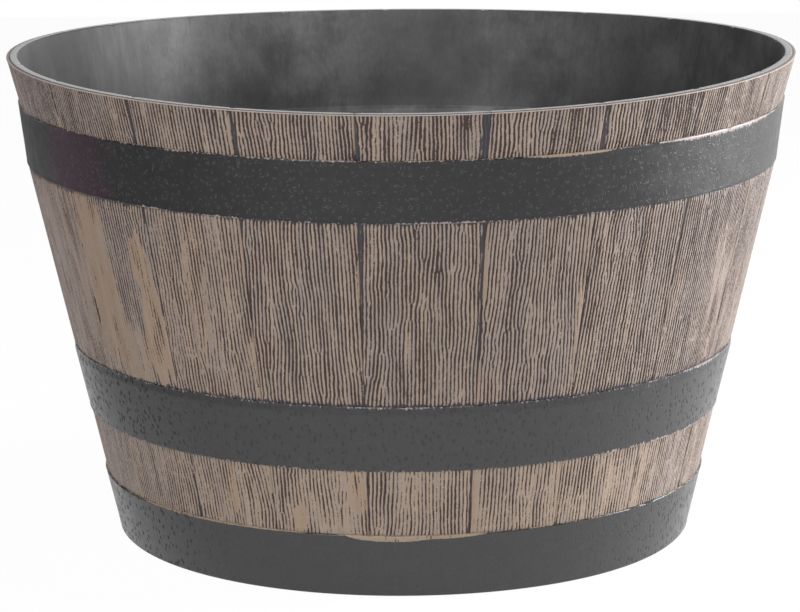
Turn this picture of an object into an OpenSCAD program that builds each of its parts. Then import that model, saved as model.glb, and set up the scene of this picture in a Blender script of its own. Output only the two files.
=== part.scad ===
// Wood-effect barrel planter: a resin tub dressed as a coopered half barrel.
// Lengths are in millimetres. +Z is up and the origin is the middle of the foot, on the ground.
// The staves are let into the tub's wall and stand between its lip and its foot flange.
// The hoops are let into the staves. The drain plug lifts out.

/* [Overall] */
// Height from the ground to the rim
height = 344; // [330:1:380]
// Diameter across the outside of the rim
rim_d = 560; // [552:1:600]
// Diameter of the wood face, carried down to the ground
base_d = 412; // [380:1:418]

/* [Wall] */
// How far the wood face lies inside the rim at the bottom of the upper hoop
shoulder_in = 13; // [9:0.5:17]
// How far it lies inside the rim at the top of the upper hoop
neck_in = 8.5; // [5:0.5:9]
// Thickness of the wall below the inner ledge, stave and tub together
wall_t = 10; // [9:0.5:14]
// Height of the inner ledge under the rim
ledge_drop = 77; // [50:1:120]
// Step of the inner ledge, inwards and down
ledge_step = 2.2; // [1:0.1:3]

/* [Rim] */
// Width of the flat top of the rim
rim_w = 8; // [7:0.5:12]
// Thickness of the lip that lies over the stave ends
lip_t = 1.2; // [1:0.1:3]
// Width of the groove across the rim at each stave joint
groove_w = 0.8; // [0.4:0.1:2]
// Depth of that groove
groove_depth = 0.5; // [0.3:0.1:0.9]

/* [Staves] */
// Number of staves round the tub
stave_count = 21; // [16:1:28]
// Direction of the first stave joint, in degrees from +X towards +Y
first_joint = -96.2; // [-110:0.1:-70]
// Thickness of a stave
stave_t = 3; // [2.6:0.1:4]
// Width of the sunk strip beside each joint, half way up
joint_w = 3; // [2:0.1:8]
// Depth of that strip
joint_depth = 0.8; // [0.3:0.1:0.9]
// One joint in this many is turned: its strip lies before it, where the other joints have theirs after them
turned_joint = 3; // [2:1:7]
// Turn of those joints from their even place, in degrees
turned_shift = 0.8; // [-2:0.1:2]
// Gap behind the staves, and behind the hoops
seat_gap = 0.1; // [0.05:0.05:0.2]

/* [Hoops] */
// Depth by which every hoop is let into the staves
hoop_seat = 1; // [0.9:0.1:1.4]
// Bevel of the hoops' edges
hoop_edge = 0.5; // [0.2:0.1:0.8]
// Distance from the rim down to the upper hoop's top edge
upper_hoop_drop = 32; // [26:1:60]
// Height of the upper hoop's band
upper_hoop_h = 43; // [30:1:48]
// How far the upper hoop stands proud along its top edge
upper_proud = 1.2; // [0.9:0.1:2]
// How far it stands proud along its lower edge
upper_proud_low = 0.6; // [0.6:0.1:2]
// Height of the middle hoop's lower edge above the ground
middle_hoop_z = 91.5; // [70:0.5:150]
// Height of the middle hoop's band
middle_hoop_h = 47; // [30:1:60]
// How far the middle hoop stands proud
middle_proud = 1; // [0.9:0.1:2]
// Height of the sloping strip along the middle hoop's top edge
middle_slope = 5.2; // [1:0.1:8]
// Height of the foot hoop's top edge above the ground
foot_hoop_h = 44.5; // [30:0.5:60]
// How far the foot hoop stands proud along its top edge
foot_proud = 1.4; // [0.9:0.1:2]
// How far it stands proud of the wood face at the ground
foot_flare = 4.2; // [2:0.1:6]
// Gap between the foot hoop and the ground
ground_gap = 0.5; // [0.3:0.1:1]

/* [Floor and foot] */
// Thickness of the floor at the drain hole
floor_t = 8; // [6:0.5:12]
// Fall of the floor from the wall to the drain hole
floor_fall = 2; // [0:0.5:4]
// Bevel between the floor and the wall
floor_bevel = 8; // [4:1:14]
// Height of the floor's underside above the ground
foot_recess = 6; // [5:0.5:10]
// Width of the ring on which the tub stands
foot_ring_w = 18; // [12:1:30]
// Thickness of the flange under the stave ends
foot_flange_t = 3; // [2:0.5:5]

/* [Drain plug] */
// Diameter of the drain hole
drain_d = 24; // [16:1:32]
// Clearance between the plug's stem and the hole, all round
plug_clearance = 0.3; // [0.2:0.1:0.5]
// How far the plug's head reaches past the hole, all round
plug_head_lap = 6; // [4:0.5:10]
// Thickness of the plug's head
plug_head_t = 3; // [2:0.5:5]
// How far the plug's stem reaches out under the floor
plug_reach = 3; // [2:0.5:4]
// Diameter of the plug's knob
plug_knob_d = 15; // [12:1:20]
// Height of the plug's knob, with its neck
plug_knob_h = 11; // [9:1:16]
// Diameter of the neck under the knob
plug_neck_d = 10; // [6:1:11]
// Rounding of the knob's edges
plug_knob_round = 2; // [1:0.5:2.5]
// Width of the flat ring of floor left round the plug's head
plug_seat_margin = 2; // [1:0.5:6]

/* [Hidden] */
$fn = 144;
RESIN = [0.30, 0.30, 0.31];
WOOD = [0.56, 0.49, 0.42];
BAND = [0.23, 0.23, 0.24];
RUBBER = [0.08, 0.08, 0.08];
// How far a cutter reaches past what it cuts, in mm and in degrees
overcut = 1;
overcut_angle = 1;

rim_r = rim_d / 2;
lip_z = height - lip_t;
ledge_z = height - ledge_drop;
upper_hoop_top = height - upper_hoop_drop;
upper_hoop_z = upper_hoop_top - upper_hoop_h;
shoulder_r = rim_r - shoulder_in;
neck_r = rim_r - neck_in;
middle_hoop_top = middle_hoop_z + middle_hoop_h;
stave_pitch = 360 / stave_count;
// The sunk strip's angle, taken half way up the wood face
joint_angle = 2 * asin(joint_w / (base_d / 2 + shoulder_r));

// Radius of the wood face at a height: straight up to the upper hoop, steeper behind it, and flared above it
WOOD_FACE = [[0, base_d / 2], [upper_hoop_z, shoulder_r], [upper_hoop_top, neck_r], [height, rim_r]];
function wood_r(z) = lookup(z, WOOD_FACE);

// Radius of the tub's inner face at a height below the ledge
function inner_r(z) = wood_r(z) - wall_t;

// Radius of the tub's wall behind the staves, and of what lies behind a hoop, each with its gap
function stave_back_r(z) = wood_r(z) - stave_t - seat_gap;
function hoop_back_r(z) = wood_r(z) - hoop_seat - seat_gap;

floor_z = foot_recess + floor_t;
floor_edge_z = floor_z + floor_fall;
foot_ring_r = hoop_back_r(0) - foot_ring_w;
drain_r = drain_d / 2;
plug_head_r = drain_r + plug_head_lap;
plug_seat_r = plug_head_r + plug_seat_margin;
plug_stem_r = drain_r - plug_clearance;
plug_foot_z = foot_recess - plug_reach;
plug_head_z = floor_z + plug_head_t;
plug_head_edge = plug_head_t / 3;
plug_neck_h = plug_knob_h / 3;

// Whether joint i has its sunk strip before it, on the stave that ends there, and the joint's direction
function is_turned(i) = i % stave_count % turned_joint == 1;
function joint_at(i) = first_joint + i * stave_pitch + (is_turned(i) ? turned_shift : 0);

function stave_name(i) = str("stave_", i < 9 ? "0" : "", i + 1);

// Inner shell with its rim lip, inner ledge, floor, foot ring and drain hole
module tub() {
    color(RESIN)
        difference() {
            rotate_extrude()
                polygon([
                    [0, foot_recess],
                    [foot_ring_r - foot_recess, foot_recess],
                    [foot_ring_r, 0],
                    [hoop_back_r(0), 0],
                    [hoop_back_r(foot_flange_t), foot_flange_t],
                    [stave_back_r(foot_flange_t), foot_flange_t],
                    [stave_back_r(upper_hoop_z), upper_hoop_z],
                    [stave_back_r(upper_hoop_top), upper_hoop_top],
                    [stave_back_r(lip_z), lip_z],
                    [rim_r, lip_z],
                    [rim_r, height],
                    [rim_r - rim_w, height],
                    [inner_r(ledge_z) + ledge_step, ledge_z],
                    [inner_r(ledge_z - ledge_step), ledge_z - ledge_step],
                    [inner_r(floor_edge_z + floor_bevel), floor_edge_z + floor_bevel],
                    [inner_r(floor_edge_z) - floor_bevel, floor_edge_z],
                    [plug_seat_r, floor_z],
                    [0, floor_z],
                ]);
            translate([0, 0, foot_recess - overcut])
                cylinder(r = drain_r, h = floor_t + 2 * overcut);
            for (i = [0 : stave_count - 1])
                rotate([0, 0, joint_at(i)])
                    translate([rim_r - rim_w - overcut, -groove_w / 2, height - groove_depth])
                        cube([rim_w + 2 * overcut, groove_w, groove_depth + overcut]);
        }
}

// Stave section: the wood face, set back where a hoop sits
module stave_section() {
    polygon([
        [wood_r(foot_flange_t) - stave_t, foot_flange_t],
        [hoop_back_r(foot_flange_t), foot_flange_t],
        [hoop_back_r(foot_hoop_h), foot_hoop_h],
        [wood_r(foot_hoop_h), foot_hoop_h],
        [wood_r(middle_hoop_z), middle_hoop_z],
        [hoop_back_r(middle_hoop_z), middle_hoop_z],
        [hoop_back_r(middle_hoop_top), middle_hoop_top],
        [wood_r(middle_hoop_top), middle_hoop_top],
        [wood_r(upper_hoop_z), upper_hoop_z],
        [hoop_back_r(upper_hoop_z), upper_hoop_z],
        [hoop_back_r(upper_hoop_top), upper_hoop_top],
        [wood_r(upper_hoop_top), upper_hoop_top],
        [wood_r(lip_z), lip_z],
        [wood_r(lip_z) - stave_t, lip_z],
        [wood_r(upper_hoop_top) - stave_t, upper_hoop_top],
        [wood_r(upper_hoop_z) - stave_t, upper_hoop_z],
    ]);
}

// Section of the sunk strip: all that lies outside the wood face less the strip's depth
module strip_section() {
    outside = rim_r + overcut;
    polygon([
        [wood_r(0) - joint_depth, 0],
        [outside, 0],
        [outside, height],
        [rim_r - joint_depth, height],
        [wood_r(upper_hoop_top) - joint_depth, upper_hoop_top],
        [wood_r(upper_hoop_z) - joint_depth, upper_hoop_z],
    ]);
}

// Cutter for the sunk strip that starts at an angle. It reaches on past its end, or if the reach is negative
// back past its start.
module strip(start, reach) {
    rotate([0, 0, start + min(reach, 0)])
        rotate_extrude(angle = joint_angle + abs(reach))
            strip_section();
}

// Stave between joints i and i + 1, with the sunk strips that these joints have on it
module stave(i) {
    width = joint_at(i + 1) - joint_at(i);
    color(WOOD)
        rotate([0, 0, joint_at(i)])
            difference() {
                rotate_extrude(angle = width)
                    stave_section();
                if (!is_turned(i)) strip(0, -overcut_angle);
                if (is_turned(i + 1)) strip(width - joint_angle, overcut_angle);
            }
}

// A hoop between two heights, with its proudness at each edge and the height of its top slope
module hoop(z_low, z_high, proud_low, proud_high, slope) {
    color(BAND)
        rotate_extrude()
            polygon([
                [wood_r(z_low) - hoop_seat, z_low],
                [wood_r(z_low) + proud_low - hoop_edge, z_low],
                [wood_r(z_low) + proud_low, z_low + hoop_edge],
                [wood_r(z_high - slope) + proud_high, z_high - slope],
                [wood_r(z_high) + proud_high - min(slope, proud_high), z_high],
                [wood_r(z_high) - hoop_seat, z_high],
            ]);
}

module hoop_upper() {
    hoop(upper_hoop_z, upper_hoop_top, upper_proud_low, upper_proud, hoop_edge);
}

module hoop_middle() {
    hoop(middle_hoop_z, middle_hoop_top, middle_proud, middle_proud, middle_slope);
}

module hoop_foot() {
    hoop(ground_gap, foot_hoop_h, foot_flare, foot_proud, hoop_edge);
}

// Rubber stopper: a stem with a tapered end, a flat head on the floor, and a knob to pull it by
module drain_plug() {
    knob_r = plug_knob_d / 2;
    knob_low_z = plug_head_z + plug_neck_h;
    knob_z = plug_head_z + plug_knob_h;
    color(RUBBER)
        rotate_extrude()
            polygon([
                [0, plug_foot_z],
                [plug_stem_r - plug_reach / 2, plug_foot_z],
                [plug_stem_r, foot_recess],
                [plug_stem_r, floor_z],
                [plug_head_r, floor_z],
                [plug_head_r, plug_head_z - plug_head_edge],
                [plug_head_r - plug_head_edge, plug_head_z],
                [plug_neck_d / 2, plug_head_z],
                [plug_neck_d / 2, knob_low_z],
                [knob_r, knob_low_z + plug_knob_round],
                [knob_r, knob_z - plug_knob_round],
                [knob_r - plug_knob_round, knob_z],
                [0, knob_z],
            ]);
}

tub();
for (i = [0 : stave_count - 1])
    stave(i);
hoop_upper();
hoop_middle();
hoop_foot();
drain_plug();
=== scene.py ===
# %% [markdown]
# # Wood-effect barrel planter
#
# The real object is a resin tub that is moulded to look like half a barrel. Its staves carry a deep grain,
# tan paint is wiped over the ridges, and the dark resin shows in the grooves, at the joints and on the
# three hoops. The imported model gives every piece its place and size. The finish is built here: each piece
# is worked out as a grid of points, so that the grain, the craters and the joints are real relief. The same
# numbers that move the points are kept on the mesh as attributes, so that the paint follows the relief.

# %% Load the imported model
import math

import bpy
import numpy as np
from mathutils import Matrix, Vector


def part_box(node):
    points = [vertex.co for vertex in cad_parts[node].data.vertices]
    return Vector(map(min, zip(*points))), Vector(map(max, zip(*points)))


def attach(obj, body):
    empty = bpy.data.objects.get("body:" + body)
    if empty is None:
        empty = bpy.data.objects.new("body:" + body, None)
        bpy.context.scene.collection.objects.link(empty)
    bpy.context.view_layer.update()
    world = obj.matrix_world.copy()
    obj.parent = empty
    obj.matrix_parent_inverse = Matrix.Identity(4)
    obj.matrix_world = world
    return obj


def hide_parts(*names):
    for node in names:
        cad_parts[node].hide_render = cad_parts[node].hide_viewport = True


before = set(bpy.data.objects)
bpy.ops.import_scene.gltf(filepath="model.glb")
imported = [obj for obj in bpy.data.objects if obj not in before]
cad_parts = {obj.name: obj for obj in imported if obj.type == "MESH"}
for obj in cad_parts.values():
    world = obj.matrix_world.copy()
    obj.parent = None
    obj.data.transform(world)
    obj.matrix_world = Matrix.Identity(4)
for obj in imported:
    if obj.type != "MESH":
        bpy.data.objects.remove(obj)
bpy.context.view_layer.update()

MM = 0.001

# %% [markdown]
# ## Camera
#
# The photograph was taken with a long lens from a little above the rim. Its place was found by fitting the
# rim's ellipse, both sides and the foot, so it is written as a distance, a height and three small angles. A
# long lens far away keeps the sides of the tub nearly straight, as the photograph does.

# %% Set up the camera
CAMERA_BACK = 2349.9
CAMERA_UP = 654.9
CAMERA_DOWN = math.radians(12.0)
CAMERA_YAW = 0.00082
CAMERA_ROLL = -0.00653
LENS_MM = 149.03
SENSOR_MM = 36
SIGHT_LIMIT = 50

camera = bpy.data.objects.new("camera", bpy.data.cameras.new("camera"))
camera.data.sensor_width = SENSOR_MM
camera.data.lens = LENS_MM
camera.data.clip_end = SIGHT_LIMIT
camera.matrix_world = (
    Matrix.Translation((0, -CAMERA_BACK * MM, CAMERA_UP * MM))
    @ Matrix.Rotation(CAMERA_YAW, 4, "Z")
    @ Matrix.Rotation(math.pi / 2 - CAMERA_DOWN, 4, "X")
    @ Matrix.Rotation(CAMERA_ROLL, 4, "Z")
)
bpy.context.scene.collection.objects.link(camera)
bpy.context.scene.camera = camera
print("camera at", [round(x, 3) for x in camera.location])

# %% [markdown]
# ## Sizes from the model
#
# A piece that replaces a node has to stand where the node stands. So the heights and radii are read from
# the node's own points, and only what the model leaves plain, such as the pitch of the grain, is given here
# as a size. All sizes are in millimetres until a mesh is made.


# %% Read the rings of a node
def rings(node):
    """Heights at which a node has points, and the smallest and largest radius at each of them, in mm."""
    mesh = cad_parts[node].data
    flat = np.zeros(len(mesh.vertices) * 3, np.float32)
    mesh.vertices.foreach_get("co", flat)
    points = flat.reshape(-1, 3).astype(float) / MM
    radius = np.hypot(points[:, 0], points[:, 1])
    height = points[:, 2].round(1)
    levels = np.unique(height)
    inner = np.array([radius[height == z].min() for z in levels])
    outer = np.array([radius[height == z].max() for z in levels])
    return levels, inner, outer


def ring(node, z):
    """Smallest and largest radius in mm of a node's points at one height."""
    levels, inner, outer = rings(node)
    k = np.abs(levels - z).argmin()
    return inner[k], outer[k]


def span(node):
    """Lowest and highest z of a node in mm."""
    low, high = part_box(node)
    return round(low.z / MM, 1), round(high.z / MM, 1)


STAVES = sorted(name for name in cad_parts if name.startswith("stave_"))
FLANGE_Z, LIP_Z = span(STAVES[0])
FOOT_TOP = span("hoop_foot")[1]
MIDDLE_LOW, MIDDLE_TOP = span("hoop_middle")
UPPER_LOW, UPPER_TOP = span("hoop_upper")
HEIGHT = span("tub")[1]
RIM_IN, RIM_R = ring("tub", HEIGHT)
print("height", HEIGHT, "rim radii", RIM_IN.round(1), RIM_R.round(1), "staves", len(STAVES))


# %% Radius of the wood face
FACE_LEVELS = np.array([FOOT_TOP, MIDDLE_LOW, MIDDLE_TOP, UPPER_LOW, UPPER_TOP, LIP_Z])
FACE_RADII = np.array([ring(STAVES[0], z)[1] for z in FACE_LEVELS])


def wood_r(z):
    """Radius of the wood face: straight lines between the staves' corners, the lowest one carried down."""
    slope = (FACE_RADII[1] - FACE_RADII[0]) / (MIDDLE_LOW - FOOT_TOP)
    levels = np.r_[0, FACE_LEVELS, HEIGHT]
    return np.interp(z, levels, np.r_[FACE_RADII[0] - slope * FOOT_TOP, FACE_RADII, RIM_R])


# The model leaves this gap between one cone and the next
CLEARANCE = 0.1
BACK_GAP = wood_r(FOOT_TOP) - ring("hoop_foot", FOOT_TOP)[0] + CLEARANCE
STAVE_BACK = wood_r(LIP_Z) - ring(STAVES[0], LIP_Z)[0]
print("hoops are let in by", round(BACK_GAP, 2), "and a stave is", round(STAVE_BACK, 2), "thick")

# %% [markdown]
# ## Sway of the rim
#
# A thin moulded tub isn't perfectly round and flat: in the photograph the rim stands highest at the left
# and right and dips a few millimetres at the front and back, like a saddle. The model keeps a flat rim at
# the highest points. Every piece made here is lowered by the same smooth function of its direction and
# height, so nothing comes apart.

# %% The sway and the joints
SWAY = 2.85
FIRST_JOINT = -96.2
TURNED_JOINT = 3
TURNED_SHIFT = 0.8
STAVE_PITCH = 360 / len(STAVES)


def sway(angle, z):
    """Drop in mm: the sway times one less the cosine of twice the angle, times the square of the height."""
    return SWAY * (1 - np.cos(2 * angle)) * (z / HEIGHT) ** 2


def is_turned(i):
    """Whether joint i has its bare strip before it, on the stave that ends there."""
    return i % len(STAVES) % TURNED_JOINT == 1


def joint_at(i):
    """Direction of joint i in radians: even steps from the first, and a small shift for the turned ones."""
    return math.radians(FIRST_JOINT + i * STAVE_PITCH + (TURNED_SHIFT if is_turned(i) else 0))


JOINTS = np.array([joint_at(i) for i in range(len(STAVES))])
print("drop at the front of the rim", round(float(sway(-math.pi / 2, HEIGHT)), 2), "mm")

# %% [markdown]
# ## Noise on a grid
#
# Grain, wiped paint and worn edges are all uneven in their own way. White noise passed through a filter
# gives every one of them: a wide filter leaves fine specks, and a narrow one leaves broad clouds, longer
# one way than the other if its two widths differ. The Fourier transform does this for a whole sheet at
# once, and the sheet repeats at its edges, which suits a ring.


# %% Clouds and smooth steps
def spectrum(width, height, step_u, step_v):
    """Waves per mm, across and up, of each cell of a sheet's Fourier transform, and its shape."""
    shape = (int(round(height / step_v)), int(round(width / step_u)))
    across = np.fft.rfftfreq(shape[1], step_u)[None]
    up = np.fft.fftfreq(shape[0], step_v)[:, None]
    return across, up, shape


def cloud(rng, sheet, length_u, length_v):
    """White noise less its waves shorter than the two lengths in mm, scaled to a standard deviation of 1."""
    across, up, shape = spectrum(*sheet)
    keep = np.exp(-math.pi * ((across * length_u) ** 2 + (up * length_v) ** 2))
    field = np.fft.irfft2(np.fft.rfft2(rng.standard_normal(shape)) * keep, s=shape)
    return field / field.std()


def sample(field, sheet, u, v):
    """Value of a sheet at points in mm: the mean of its four nearest cells, weighted by their nearness."""
    rows, columns = field.shape
    i, j = u / sheet[2], v / sheet[3]
    i0, j0 = np.floor(i).astype(int), np.floor(j).astype(int)
    a, b = i - i0, j - j0
    low = field[j0 % rows, i0 % columns] * (1 - a) + field[j0 % rows, (i0 + 1) % columns] * a
    high = field[(j0 + 1) % rows, i0 % columns] * (1 - a) + field[(j0 + 1) % rows, (i0 + 1) % columns] * a
    return low * (1 - b) + high * b


def step(value, low, high):
    """Smooth step from 0 at low to 1 at high: three squares less two cubes of the share in between."""
    t = np.clip((value - low) / (high - low), 0, 1)
    return t * t * (3 - 2 * t)


print("a smooth step at 1/4, 1/2 and 3/4:", step(np.array([0.25, 0.5, 0.75]), 0, 1).round(3))

# %% [markdown]
# ## Grain
#
# Real grain is a family of lines that keep their distance, bend together, fan out below a seam and fork
# where they have to. Drawing them one by one would need a rule for every fork. It is simpler to draw a
# rough version, with the lines just pushed apart at each seam, and to let it heal: the sheet is passed
# again and again through a filter that keeps waves of one pitch, and squeezed towards black and white. The
# crowded lines merge and the pitch evens out. Then the sheet is read through a slightly bent net, which
# gives the lines their small kinks.

# %% Lines that heal into grain
GRAIN_PITCH = 2.65
GRAIN_BAND = 0.3
GRAIN_FAN = math.radians(24)
GRAIN_PASSES = 16
GRAIN_SQUEEZE = 1.6
GRAIN_GRIT = 0.12
GRAIN_SHEET = (91.0, 352.0, 0.35, 1.0)
DRIFT = 0.8
SEAMS = 6
SEAM_CREASE = 0.8
# Limits of a seam's tilt, of its half width in mm and of its length in mm
SEAM_LIMITS = ((0.18, 0.36), (9, 16), (45, 95))


def seams(rng, u, v):
    """Push across in mm: beside each seam it grows with the way along it, and dies away to both sides."""
    push = DRIFT * cloud(rng, GRAIN_SHEET, 40, 70)
    wide, tall = GRAIN_SHEET[:2]
    for _ in range(SEAMS):
        seam_u, seam_v = rng.uniform(0, wide), rng.uniform(0, tall)
        way = rng.choice([-1, 1])
        tilt, half, length = (rng.uniform(*limits) for limits in SEAM_LIMITS)
        beside = (u - seam_u + wide / 2) % wide - wide / 2
        along = (v - seam_v) * way % tall
        run = along * step(along, length * 1.6, length)
        push -= np.tanh(beside / SEAM_CREASE) * tilt * run * np.exp(-((beside / half) ** 2))
    return push


def grain_lines(rng):
    """Sheet of upright waves of one pitch, filtered and squeezed in turns: -1 in a groove, 1 on a ridge."""
    across, up, shape = spectrum(*GRAIN_SHEET)
    waves = np.hypot(across, up) * GRAIN_PITCH
    lean = np.arctan2(up, across + 1e-9)
    keep = np.exp(-(((waves - 1) / GRAIN_BAND) ** 2) - (lean / GRAIN_FAN) ** 2)
    v, u = np.mgrid[: shape[0], : shape[1]] * np.array([GRAIN_SHEET[3], GRAIN_SHEET[2]])[:, None, None]
    field = np.cos(2 * math.pi * (u + seams(rng, u, v)) / GRAIN_PITCH)
    field = field + GRAIN_GRIT * rng.standard_normal(shape)
    for _ in range(GRAIN_PASSES):
        field = np.fft.irfft2(np.fft.rfft2(field) * keep, s=shape)
        field = np.tanh(GRAIN_SQUEEZE * field / field.std())
    field = np.fft.irfft2(np.fft.rfft2(field) * keep, s=shape)
    calm = np.exp(-math.pi * ((across * 4) ** 2 + (up * 6) ** 2))
    power = np.fft.irfft2(np.fft.rfft2(field**2) * calm, s=shape)
    return field / np.sqrt(2 * np.maximum(power, 0.2 * power.mean()))


# How far the lines bend in mm: in wide and in fine bends, and in rare knots
WIDE_BEND = 0.17
FINE_BEND = 0.05
KNOT_BEND = 0.25
KNOT_RARITY = 0.9
# What the ridges gain in height: everywhere, along each line, in fine specks, and where two of them meet
RIDGE_LIFT = 0.12
LINE_WAVER = 0.2
RIDGE_SPECK = 0.17
BRIDGE_LIFT = 0.6


def grain(rng, u, v):
    """Height and tone of the grain at points in mm: the lines read through a bent net, plus clouds."""

    def clouds(length_u, length_v, at=u):
        return sample(cloud(rng, GRAIN_SHEET, length_u, length_v), GRAIN_SHEET, at, v)

    lines = grain_lines(rng)
    bent = u + WIDE_BEND * clouds(11, 16) + FINE_BEND * clouds(3.5, 4)
    bent += KNOT_BEND * np.clip(clouds(9, 14) - KNOT_RARITY, 0, 1.2) * clouds(3, 3.2)
    ridge = sample(lines, GRAIN_SHEET, bent, v)
    ridge += RIDGE_LIFT + LINE_WAVER * clouds(2.5, 25, bent) + RIDGE_SPECK * clouds(1.0, 2.0)
    ridge += BRIDGE_LIFT * step(clouds(2.0, 8), 1.7, 2.3)
    tone = clouds(2.2, 45, bent)
    return ridge, tone


print("a sheet of grain has", spectrum(*GRAIN_SHEET)[2], "cells")

# %% [markdown]
# ## From arrays to meshes
#
# Every piece is one closed grid: a section that is a closed loop, repeated at many angles. Round pieces
# join their last angle to their first, and a stave is closed by its two end sections. The arrays go into
# the mesh in one call, and the volume's sign says whether the faces look outwards.


# %% Build a closed grid
SHARP_ANGLE = math.radians(62)


def grid_mesh(name, angle, radius, z, round_trip, attributes):
    """Mesh of points at an angle, radius and height. Rows go round the section, columns round the axis."""
    rows, columns = radius.shape
    angle = np.broadcast_to(angle, radius.shape)
    z = z - sway(angle, z)
    points = np.stack([radius * np.cos(angle), radius * np.sin(angle), z], -1).reshape(-1, 3) * MM
    index = np.arange(rows * columns).reshape(rows, columns)
    above = np.roll(index, -1, 0)
    if round_trip:
        a, b, c, d = index, np.roll(index, -1, 1), np.roll(above, -1, 1), above
    else:
        a, b, c, d = index[:, :-1], index[:, 1:], above[:, 1:], above[:, :-1]
    quads = np.stack([a, b, c, d], -1).reshape(-1, 4)
    corner = points[quads]
    volume = np.einsum("ij,ij->i", corner[:, 0], np.cross(corner[:, 1], corner[:, 2])).sum()
    volume += np.einsum("ij,ij->i", corner[:, 0], np.cross(corner[:, 2], corner[:, 3])).sum()
    turn = 1 if volume > 0 else -1
    quads = quads[:, ::turn]
    ends = [] if round_trip else [index[::-turn, 0], index[::turn, -1]]
    mesh = bpy.data.meshes.new(name)
    mesh.vertices.add(len(points))
    mesh.vertices.foreach_set("co", points.astype(np.float32).ravel())
    loops = np.concatenate([quads.ravel(), *ends]).astype(np.int32)
    sizes = np.r_[np.full(len(quads), 4), [len(e) for e in ends]].astype(np.int32)
    mesh.loops.add(len(loops))
    mesh.loops.foreach_set("vertex_index", loops)
    mesh.polygons.add(len(sizes))
    mesh.polygons.foreach_set("loop_start", np.r_[0, np.cumsum(sizes)[:-1]].astype(np.int32))
    mesh.polygons.foreach_set("loop_total", sizes)
    for key, values in attributes.items():
        layer = mesh.attributes.new(key, "FLOAT", "POINT")
        layer.data.foreach_set("value", values.astype(np.float32).ravel())
    mesh.update(calc_edges=True)
    mesh.validate()
    mesh.shade_smooth()
    mesh.set_sharp_from_angle(angle=SHARP_ANGLE)
    return mesh


def dress(name, mesh, material, body, slot, *nodes):
    """Object of a mesh, with its finish, riding on a body and standing for its CAD nodes."""
    piece = bpy.data.objects.new(name, mesh)
    bpy.context.scene.collection.objects.link(piece)
    mesh.materials.append(material)
    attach(piece, body)
    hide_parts(*nodes)
    return piece


def spaced(low, high, gap):
    """Even steps from low to high, each at most the gap."""
    return np.linspace(low, high, max(2, int(math.ceil((high - low) / gap)) + 1))


print("from 0 to 1 in steps of at most 0.3:", spaced(0, 1, 0.3))

# %% [markdown]
# ## Shader arithmetic
#
# A finish is a sum: so much paint where the ridge is high, less where it is bare. Written with nodes alone
# that is hard to read, so one small class wraps a socket and lets Python's own signs add the Math nodes.
# Everything else, from noise to the surface shader, comes from one method.


# %% A socket and a finish
class Socket:
    """An output of a node. Arithmetic on it adds Math nodes."""

    def __init__(self, finish, output):
        self.finish = finish
        self.output = output

    def math(self, operation, first, second):
        return self.finish.node("ShaderNodeMath", {"operation": operation}, {0: first, 1: second})

    def __add__(self, other):
        return self.math("ADD", self, other)

    def __radd__(self, other):
        return self.math("ADD", other, self)

    def __sub__(self, other):
        return self.math("SUBTRACT", self, other)

    def __rsub__(self, other):
        return self.math("SUBTRACT", other, self)

    def __mul__(self, other):
        return self.math("MULTIPLY", self, other)

    def __rmul__(self, other):
        return self.math("MULTIPLY", other, self)


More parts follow.
